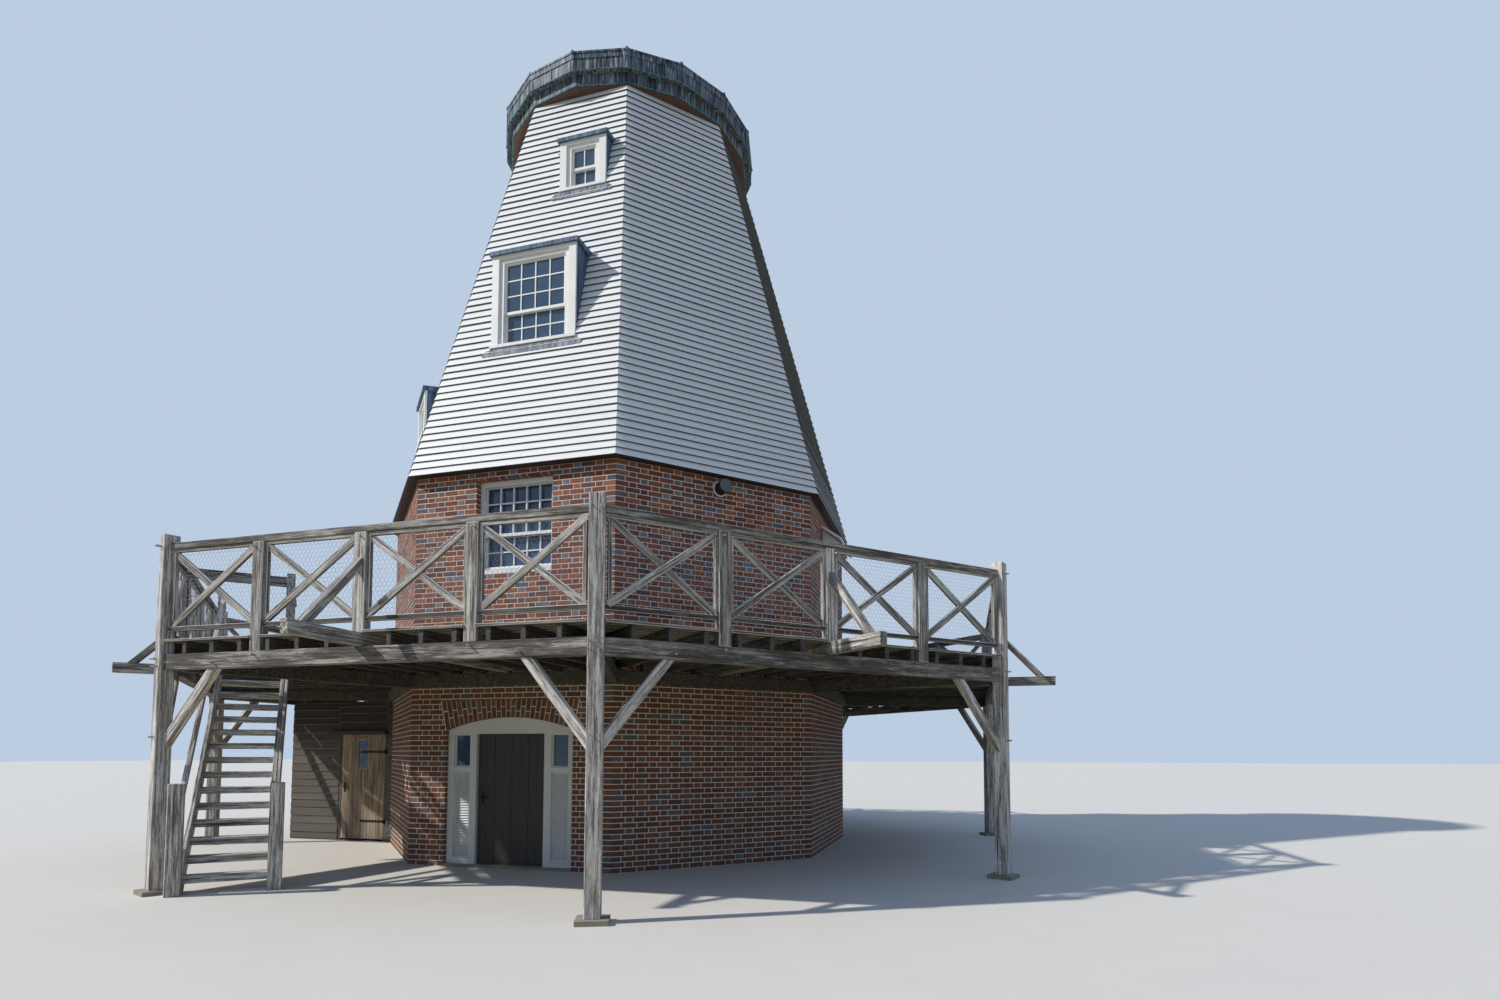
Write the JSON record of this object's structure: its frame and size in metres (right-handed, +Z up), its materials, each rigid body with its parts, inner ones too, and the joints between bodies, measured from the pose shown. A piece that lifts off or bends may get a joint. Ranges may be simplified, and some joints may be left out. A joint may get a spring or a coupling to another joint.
{
  "type": "smock mill",
  "caption": "Octagonal smock mill house: brick base with arched doorway, leaning boarded tower with box windows, lead cap, railed timber stage on posts, stair and boarded store.",
  "frame": {"origin": "on the ground at the mill's own axis, the middle of the stage's outline", "axes": "+Z up; the arched main doorway faces -Y; the store stands on the -X side; metres"},
  "size_m": [15.32, 15.32, 13.865],
  "materials": {
    "brick": "rough facing brick with pale mortar",
    "stone": "rough",
    "smock_boards": "white painted weatherboards",
    "oak": "weathered grey oak",
    "store_boards": "dark weathered boards",
    "store_planks": "bare weathered planks",
    "deck_boards": "weathered boards",
    "white_paint": "white gloss paint on timber",
    "grey_paint": "blue-grey satin paint on timber",
    "door_boards": "dark stained planks",
    "lead": "dull dark lead sheet",
    "iron": "black painted wrought iron",
    "glass": "clear",
    "floor_boards": "planed boards"
  },
  "bodies": {
    "mill": {"base_front_over_door": "brick", "base_front_piers": "brick", "base_wall_north": "brick", "base_walls_plain": "brick", "base_walls_with_stage_doors": "brick", "cap_band": "lead", "cap_roof": "lead", "cap_skirt": "lead", "deck": "deck_boards", "deck_over_stair": "deck_boards", "door_arch": "brick", "doorway_sill": "stone", "ground_floor": "stone", "hand_rails": "oak", "hip_beams": "oak", "hip_joists": "oak", "joists": "oak", "knee_braces": "oak", "lower_window_glass": "glass", "main_door_frame": "grey_paint", "main_door_pins": "iron", "outriggers": "oak", "pad_stones": "stone", "rail_struts": "oak", "railing_lattices": "oak", "sash_windows": "white_paint", "side_light_slats": "grey_paint", "smock_cant_posts": "smock_boards", "smock_walls_plain": "smock_boards", "smock_walls_with_windows": "smock_boards", "stage_beams": "oak", "stage_door_frames": "white_paint", "stage_door_hoods": "white_paint", "stage_doors": "white_paint", "stage_posts": "oak", "stair_newels": "oak", "stair_rails": "oak", "stair_strings": "oak", "stair_treads": "oak", "stairwell_trimmers": "oak", "store_door_frame": "store_boards", "store_door_pins": "iron", "store_front_over": "store_boards", "store_long_walls": "store_boards", "store_roof": "deck_boards", "store_west_wall": "store_boards", "upper_floors": "floor_boards", "wall_flue": "iron", "wall_plates": "oak", "window_box_glass": "glass", "window_boxes": "lead", "window_casings": "white_paint"},
    "main_door": {"main_door": "door_boards", "main_door_ironwork": "iron"},
    "store_door": {"store_door": "store_planks", "store_door_ironwork": "iron"}
  },
  "joints": [
    {"name": "main_door_hinge", "type": "hinge", "parent": "mill", "child": "main_door", "pos_m": [0.557, -3.714, 1], "axis": [0, 0, 1], "range_deg": [-95, 0]},
    {"name": "store_door_hinge", "type": "hinge", "parent": "mill", "child": "store_door", "pos_m": [-4.033, -1.64143, 1], "axis": [0, 0, 1], "range_deg": [0, 100]}
  ]
}
